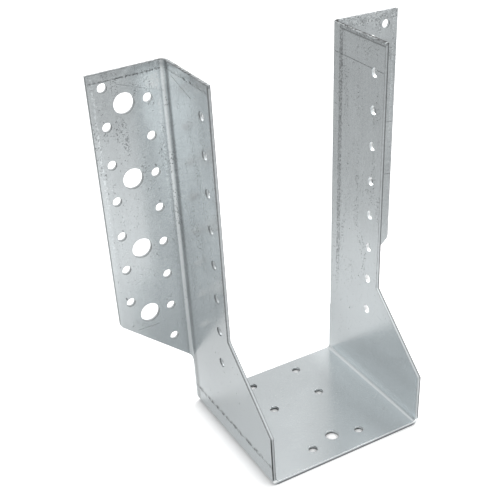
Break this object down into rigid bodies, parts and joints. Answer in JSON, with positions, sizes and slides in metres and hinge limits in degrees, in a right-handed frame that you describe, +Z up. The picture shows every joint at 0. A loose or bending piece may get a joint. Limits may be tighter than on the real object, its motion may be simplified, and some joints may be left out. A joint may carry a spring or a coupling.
{
  "type": "joist hanger",
  "caption": "Face-fixed joist hanger folded from galvanised steel sheet, with a flat seat, upright side plates and outward nailing flanges pierced for nails and bolts.",
  "frame": {"origin": "on the underside, below the middle of the whole hanger's width and depth", "axes": "+Z up along the side plates, +Y towards the header that the flanges lie against, +X to the right for someone who faces the header"},
  "size_m": [0.1798, 0.0872, 0.2069],
  "materials": {
    "galvanised_steel": "bright zinc coating with a soft sheen, light rolling marks and handling scuffs"
  },
  "bodies": {
    "root": {"hanger": "galvanised_steel"}
  },
  "joints": []
}
